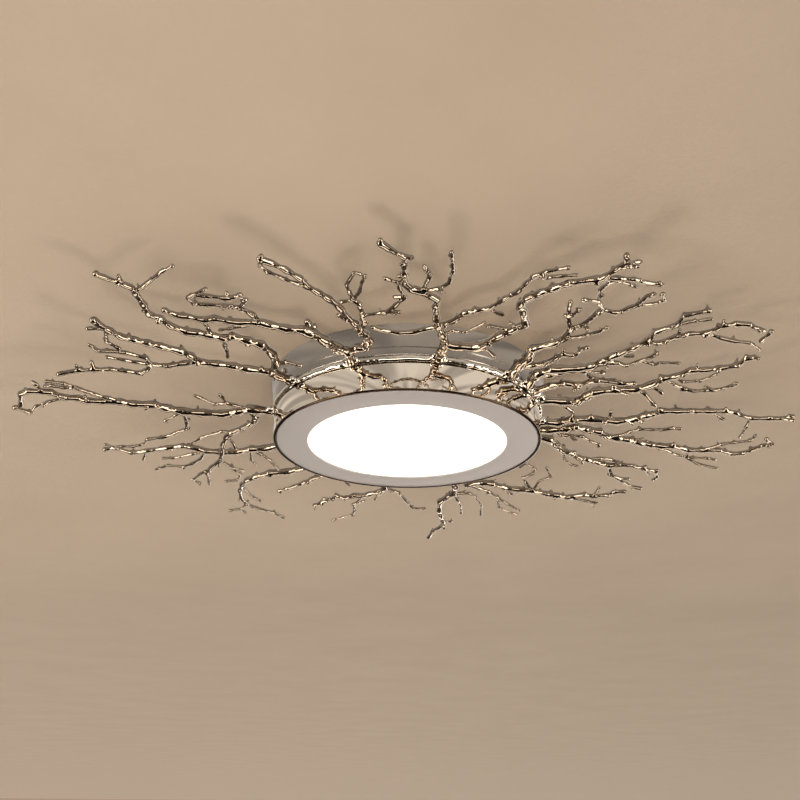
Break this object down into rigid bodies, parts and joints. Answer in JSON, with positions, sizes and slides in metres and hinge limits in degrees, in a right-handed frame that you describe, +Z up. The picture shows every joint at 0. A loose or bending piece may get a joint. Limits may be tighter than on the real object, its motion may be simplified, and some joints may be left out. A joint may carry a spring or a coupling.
{
  "type": "flush mount ceiling light",
  "caption": "Round flush mount ceiling light with an opal diffuser in a twist-off bezel and a crown of cast metal twigs spreading from its drum.",
  "frame": {"origin": "centre of the mounting plate's face against the ceiling", "axes": "+Z up into the ceiling, the lamp hangs towards -Z; -Y is the near side in the picture, +X its right-hand side"},
  "size_m": [0.9907, 0.9388, 0.0818],
  "materials": {
    "polished_nickel": "polished nickel plate on spun and turned brass",
    "cast_nickel": "polished nickel plate on cast brass",
    "satin_nickel": "fine satin nickel",
    "opal_acrylic": "opal, lit from behind",
    "zinc_steel": "zinc plated",
    "green_screw": "green",
    "mill_aluminium": "mill finish",
    "white_board": "white solder mask",
    "led_phosphor": "yellow phosphor",
    "white_enamel": "matt white",
    "driver_case": "moulded white",
    "terminal_plastic": "natural nylon",
    "grommet_rubber": "matt black",
    "lead_sleeve": "flexible sleeve"
  },
  "bodies": {
    "root": {"canopy": "polished_nickel", "twig_ring": "polished_nickel", "drum_band": "polished_nickel", "side_screws": "polished_nickel", "mounting_plate": "zinc_steel", "ground_screw": "green_screw", "ring_screws": "zinc_steel", "stack_screws": "zinc_steel", "stack_nuts": "zinc_steel", "stack_spacers": "zinc_steel", "board_screws": "zinc_steel", "reflector_screws": "zinc_steel", "driver_screws": "zinc_steel", "block_screws": "zinc_steel", "terminal_screws": "zinc_steel", "bracket_screws": "zinc_steel", "bayonet_brackets": "zinc_steel", "housing_plate": "mill_aluminium", "led_board": "white_board", "led_chips": "led_phosphor", "reflector": "white_enamel", "led_driver": "driver_case", "terminal_block": "terminal_plastic", "led_grommet": "grommet_rubber", "led_leads": "lead_sleeve", "supply_leads": "lead_sleeve", "twigs_front": "cast_nickel", "twigs_front_right": "cast_nickel", "twigs_right_front": "cast_nickel", "twigs_right_hook": "cast_nickel", "twigs_right": "cast_nickel", "twigs_right_long": "cast_nickel", "twigs_right_rear": "cast_nickel", "twigs_rear_right": "cast_nickel", "twigs_rear_centre": "cast_nickel", "twigs_rear": "cast_nickel", "twigs_rear_left": "cast_nickel", "twigs_rear_short": "cast_nickel", "twigs_left_rear": "cast_nickel", "twigs_left_low": "cast_nickel", "twigs_left": "cast_nickel", "twigs_left_front": "cast_nickel", "twigs_front_left": "cast_nickel"},
    "trim": {"bezel": "satin_nickel", "diffuser": "opal_acrylic", "retaining_ring": "white_enamel", "retaining_screws": "zinc_steel"}
  },
  "joints": [
    {"name": "trim_twist", "type": "hinge", "parent": "root", "child": "trim", "pos_m": [0, 0, -0.075], "axis": [0, 0, 1], "range_deg": [0, 15]}
  ]
}
